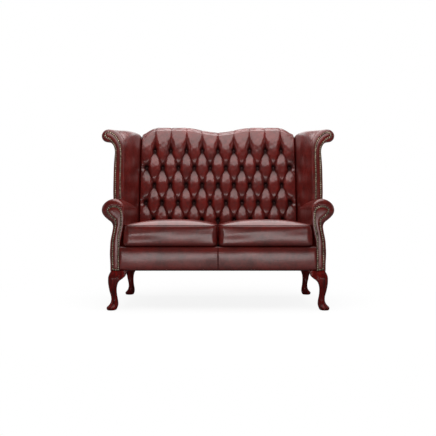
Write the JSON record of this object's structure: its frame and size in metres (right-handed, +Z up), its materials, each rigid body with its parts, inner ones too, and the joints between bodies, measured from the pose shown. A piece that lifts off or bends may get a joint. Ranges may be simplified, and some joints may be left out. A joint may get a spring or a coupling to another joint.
{
  "type": "two-seater wing sofa",
  "caption": "Two-seater sofa with a deep-buttoned camel back, scrolled wings and arms, loose seat cushions, nail trim and cabriole legs on a sprung frame.",
  "frame": {"origin": "on the floor, at the centre of the bounding box seen from above", "axes": "+X to the sofa's right as seen from the front, -Y out of the front, +Z up"},
  "size_m": [1.3662, 0.8236, 1.1035],
  "materials": {
    "leather": "semi-gloss, rubbed-off antique oxblood",
    "nails": "antique, darkened",
    "mahogany": "dark red-brown, gloss lacquer",
    "beech": "sawn, bare",
    "plywood": "bare birch ply",
    "spring_wire": "oiled dark spring wire",
    "zinc_steel": "zinc plated",
    "lining": "black non-woven lining",
    "platform_cloth": "dark red platform cloth",
    "webbing": "woven elastic web",
    "foam": "cushion foam",
    "zip": "nylon zip"
  },
  "bodies": {
    "frame": {"front_rail": "beech", "rear_rail": "beech", "side_rail_left": "beech", "side_rail_right": "beech", "centre_rail": "beech", "corner_blocks": "beech", "seat_springs": "spring_wire", "spring_clips": "zinc_steel", "seat_platform": "platform_cloth", "front_border": "leather", "dust_cover": "lining", "arm_front_post_left": "beech", "arm_front_post_right": "beech", "arm_top_rail_left": "beech", "arm_top_rail_right": "beech", "arm_slat_left": "beech", "arm_slat_right": "beech", "arm_pad_left": "leather", "arm_pad_right": "leather", "outside_arm_left": "leather", "outside_arm_right": "leather", "arm_facing_left": "leather", "arm_facing_right": "leather", "arm_nail_strip_left": "nails", "arm_nail_strip_right": "nails", "back_post_left": "beech", "back_post_right": "beech", "back_top_rail": "beech", "back_lower_rail": "beech", "back_upright": "beech", "back_webbing": "webbing", "back_pad": "leather", "back_buttons": "leather", "outside_back": "leather", "wing_board_left": "plywood", "wing_board_right": "plywood", "wing_pad_left": "leather", "wing_pad_right": "leather", "outside_wing_left": "leather", "outside_wing_right": "leather", "wing_facing_left": "leather", "wing_facing_right": "leather", "wing_nail_strip_left": "nails", "wing_nail_strip_right": "nails", "leg_front_left": "mahogany", "leg_front_right": "mahogany", "leg_rear_left": "mahogany", "leg_rear_right": "mahogany", "leg_bolts": "zinc_steel", "leg_tee_nuts": "zinc_steel"},
    "cushion_left": {"seat_cushion_left": "leather", "seat_foam_left": "foam", "cushion_zip_left": "zip"},
    "cushion_right": {"seat_cushion_right": "leather", "seat_foam_right": "foam", "cushion_zip_right": "zip"}
  },
  "joints": [
    {"name": "cushion_left_lift", "type": "slide", "parent": "frame", "child": "cushion_left", "axis": [0, 0, 1], "range_m": [0, 0.3]},
    {"name": "cushion_right_lift", "type": "slide", "parent": "frame", "child": "cushion_right", "axis": [0, 0, 1], "range_m": [0, 0.3]}
  ]
}
